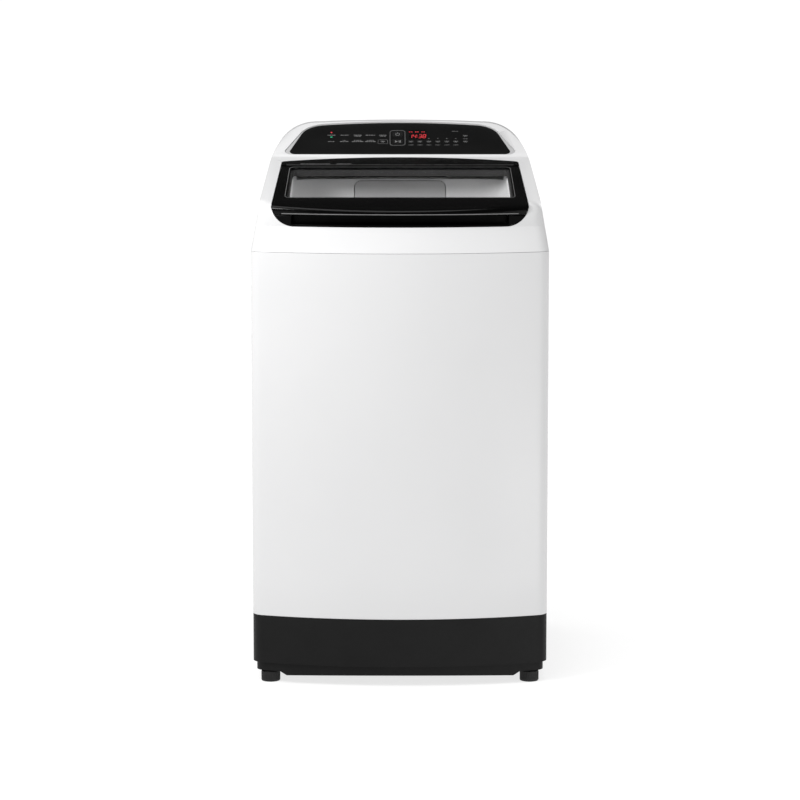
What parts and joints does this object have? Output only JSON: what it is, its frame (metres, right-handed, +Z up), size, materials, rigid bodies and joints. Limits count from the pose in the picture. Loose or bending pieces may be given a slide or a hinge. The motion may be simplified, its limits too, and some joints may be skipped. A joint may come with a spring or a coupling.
{
  "type": "top load washing machine",
  "caption": "Upright top-loading washing machine with a bowed white cabinet, black plinth, sloping hinged glass lid, detergent drawer and black control panel.",
  "frame": {"origin": "on the floor under the middle of the outer box", "axes": "+X to the user's right seen from the front, +Y from the front to the wall behind, +Z up"},
  "size_m": [0.54, 0.568, 1.006],
  "materials": {
    "white_paint": "smooth gloss enamel",
    "white_plastic": "smooth semi-gloss",
    "light_grey_plastic": "fine satin",
    "grey_plastic": "fine satin",
    "black_gloss": "piano black",
    "dark_plastic": "moulded",
    "black_plastic": "fine grain",
    "key_plastic": "gloss",
    "tinted_glass": "tinted, polished",
    "display_glass": "smoked, polished",
    "circuit_board": "lacquered board",
    "tub_plastic": "moulded",
    "stainless": "brushed",
    "galvanised_sheet": "galvanised",
    "steel": "zinc plated",
    "aluminium": "die cast",
    "motor_iron": "laminated core with windings",
    "rubber": "moulded",
    "black_rubber_foot": "moulded"
  },
  "bodies": {
    "cabinet": {"cabinet_shell": "white_paint", "rear_panel": "galvanised_sheet", "rear_access_cover": "galvanised_sheet", "base_plinth": "black_plastic", "rear_feet": "black_rubber_foot", "locknuts_and_screws": "steel", "corner_brackets": "galvanised_sheet", "suspension_rods": "steel", "suspension_springs": "steel", "drain_pump": "dark_plastic", "drain_bellows": "rubber", "drain_spigot": "dark_plastic", "cord_gland": "rubber", "top_cover": "white_plastic", "opening_collar": "grey_plastic", "handle_recess_trim": "black_gloss", "rear_trim_band": "black_gloss", "hinge_pins": "steel", "lid_bumpers": "rubber", "lid_sensor": "dark_plastic", "console_panel": "black_gloss", "console_bezel": "light_grey_plastic", "display_window": "display_glass", "control_board": "circuit_board", "drawer_housing": "white_plastic", "inlet_valves": "white_plastic"},
    "lid": {"lid_frame": "black_gloss", "lid_glass": "tinted_glass", "lid_inner_frame": "dark_plastic"},
    "drawer": {"detergent_drawer": "grey_plastic"},
    "tub": {"outer_tub": "tub_plastic", "tub_cover": "tub_plastic", "spring_cups": "dark_plastic", "bearing_housing": "aluminium", "bearings": "steel", "shaft_seal": "rubber", "stator": "motor_iron"},
    "basket": {"basket": "stainless", "basket_base": "tub_plastic", "balance_ring": "tub_plastic", "hub_flange": "aluminium", "spin_tube": "steel"},
    "pulsator": {"pulsator": "grey_plastic", "drive_shaft": "steel", "rotor": "steel"},
    "left_filter": {"lint_filter_left": "grey_plastic"},
    "right_filter": {"lint_filter_right": "grey_plastic"},
    "left_foot": {"front_foot_left": "black_rubber_foot"},
    "right_foot": {"front_foot_right": "black_rubber_foot"},
    "power_key": {"power_key": "key_plastic"},
    "start_key": {"start_key": "key_plastic"},
    "course_key": {"course_key": "key_plastic"},
    "option_key_1": {"option_key_1": "key_plastic"},
    "option_key_2": {"option_key_2": "key_plastic"},
    "option_key_3": {"option_key_3": "key_plastic"},
    "option_key_4": {"option_key_4": "key_plastic"},
    "option_key_5": {"option_key_5": "key_plastic"},
    "option_key_6": {"option_key_6": "key_plastic"},
    "delay_key": {"delay_key": "key_plastic"},
    "child_lock_key": {"child_lock_key": "key_plastic"}
  },
  "joints": [
    {"name": "lid_hinge", "type": "hinge", "parent": "cabinet", "child": "lid", "pos_m": [0, 0.03696, 0.92229], "axis": [-1, 0, 0], "range_deg": [0, 105]},
    {"name": "drawer_slide", "type": "slide", "parent": "cabinet", "child": "drawer", "axis": [0, -1, 0], "range_m": [0, 0.11]},
    {"name": "tub_bounce", "type": "slide", "parent": "cabinet", "child": "tub", "axis": [0, 0, 1], "range_m": [-0.02, 0.01], "stiffness_N_per_m": 20000, "springref_m": 0.0093, "deforming": ["suspension_springs", "drain_bellows"]},
    {"name": "basket_spin", "type": "hinge", "parent": "tub", "child": "basket", "pos_m": [0, 0, 0.19], "axis": [0, 0, 1], "continuous": true},
    {"name": "pulsator_spin", "type": "hinge", "parent": "tub", "child": "pulsator", "pos_m": [0, 0, 0.19], "axis": [0, 0, 1], "continuous": true},
    {"name": "left_filter_pull", "type": "slide", "parent": "basket", "child": "left_filter", "axis": [1, 0, 0], "range_m": [0, 0.03]},
    {"name": "right_filter_pull", "type": "slide", "parent": "basket", "child": "right_filter", "axis": [-1, 0, 0], "range_m": [0, 0.03]},
    {"name": "left_foot_height", "type": "slide", "parent": "cabinet", "child": "left_foot", "axis": [0, 0, -1], "range_m": [0, 0.015]},
    {"name": "right_foot_height", "type": "slide", "parent": "cabinet", "child": "right_foot", "axis": [0, 0, -1], "range_m": [0, 0.015]},
    {"name": "power_key_press", "type": "slide", "parent": "cabinet", "child": "power_key", "axis": [0, 0.4472, -0.8944], "range_m": [0, 0.0008], "stiffness_N_per_m": 300},
    {"name": "start_key_press", "type": "slide", "parent": "cabinet", "child": "start_key", "axis": [0, 0.4472, -0.8944], "range_m": [0, 0.0008], "stiffness_N_per_m": 300},
    {"name": "course_key_press", "type": "slide", "parent": "cabinet", "child": "course_key", "axis": [0, 0.4472, -0.8944], "range_m": [0, 0.0008], "stiffness_N_per_m": 300},
    {"name": "option_key_1_press", "type": "slide", "parent": "cabinet", "child": "option_key_1", "axis": [0, 0.4472, -0.8944], "range_m": [0, 0.0008], "stiffness_N_per_m": 300},
    {"name": "option_key_2_press", "type": "slide", "parent": "cabinet", "child": "option_key_2", "axis": [0, 0.4472, -0.8944], "range_m": [0, 0.0008], "stiffness_N_per_m": 300},
    {"name": "option_key_3_press", "type": "slide", "parent": "cabinet", "child": "option_key_3", "axis": [0, 0.4472, -0.8944], "range_m": [0, 0.0008], "stiffness_N_per_m": 300},
    {"name": "option_key_4_press", "type": "slide", "parent": "cabinet", "child": "option_key_4", "axis": [0, 0.4472, -0.8944], "range_m": [0, 0.0008], "stiffness_N_per_m": 300},
    {"name": "option_key_5_press", "type": "slide", "parent": "cabinet", "child": "option_key_5", "axis": [0, 0.4472, -0.8944], "range_m": [0, 0.0008], "stiffness_N_per_m": 300},
    {"name": "option_key_6_press", "type": "slide", "parent": "cabinet", "child": "option_key_6", "axis": [0, 0.4472, -0.8944], "range_m": [0, 0.0008], "stiffness_N_per_m": 300},
    {"name": "delay_key_press", "type": "slide", "parent": "cabinet", "child": "delay_key", "axis": [0, 0.4472, -0.8944], "range_m": [0, 0.0008], "stiffness_N_per_m": 300},
    {"name": "child_lock_key_press", "type": "slide", "parent": "cabinet", "child": "child_lock_key", "axis": [0, 0.4472, -0.8944], "range_m": [0, 0.0008], "stiffness_N_per_m": 300}
  ]
}
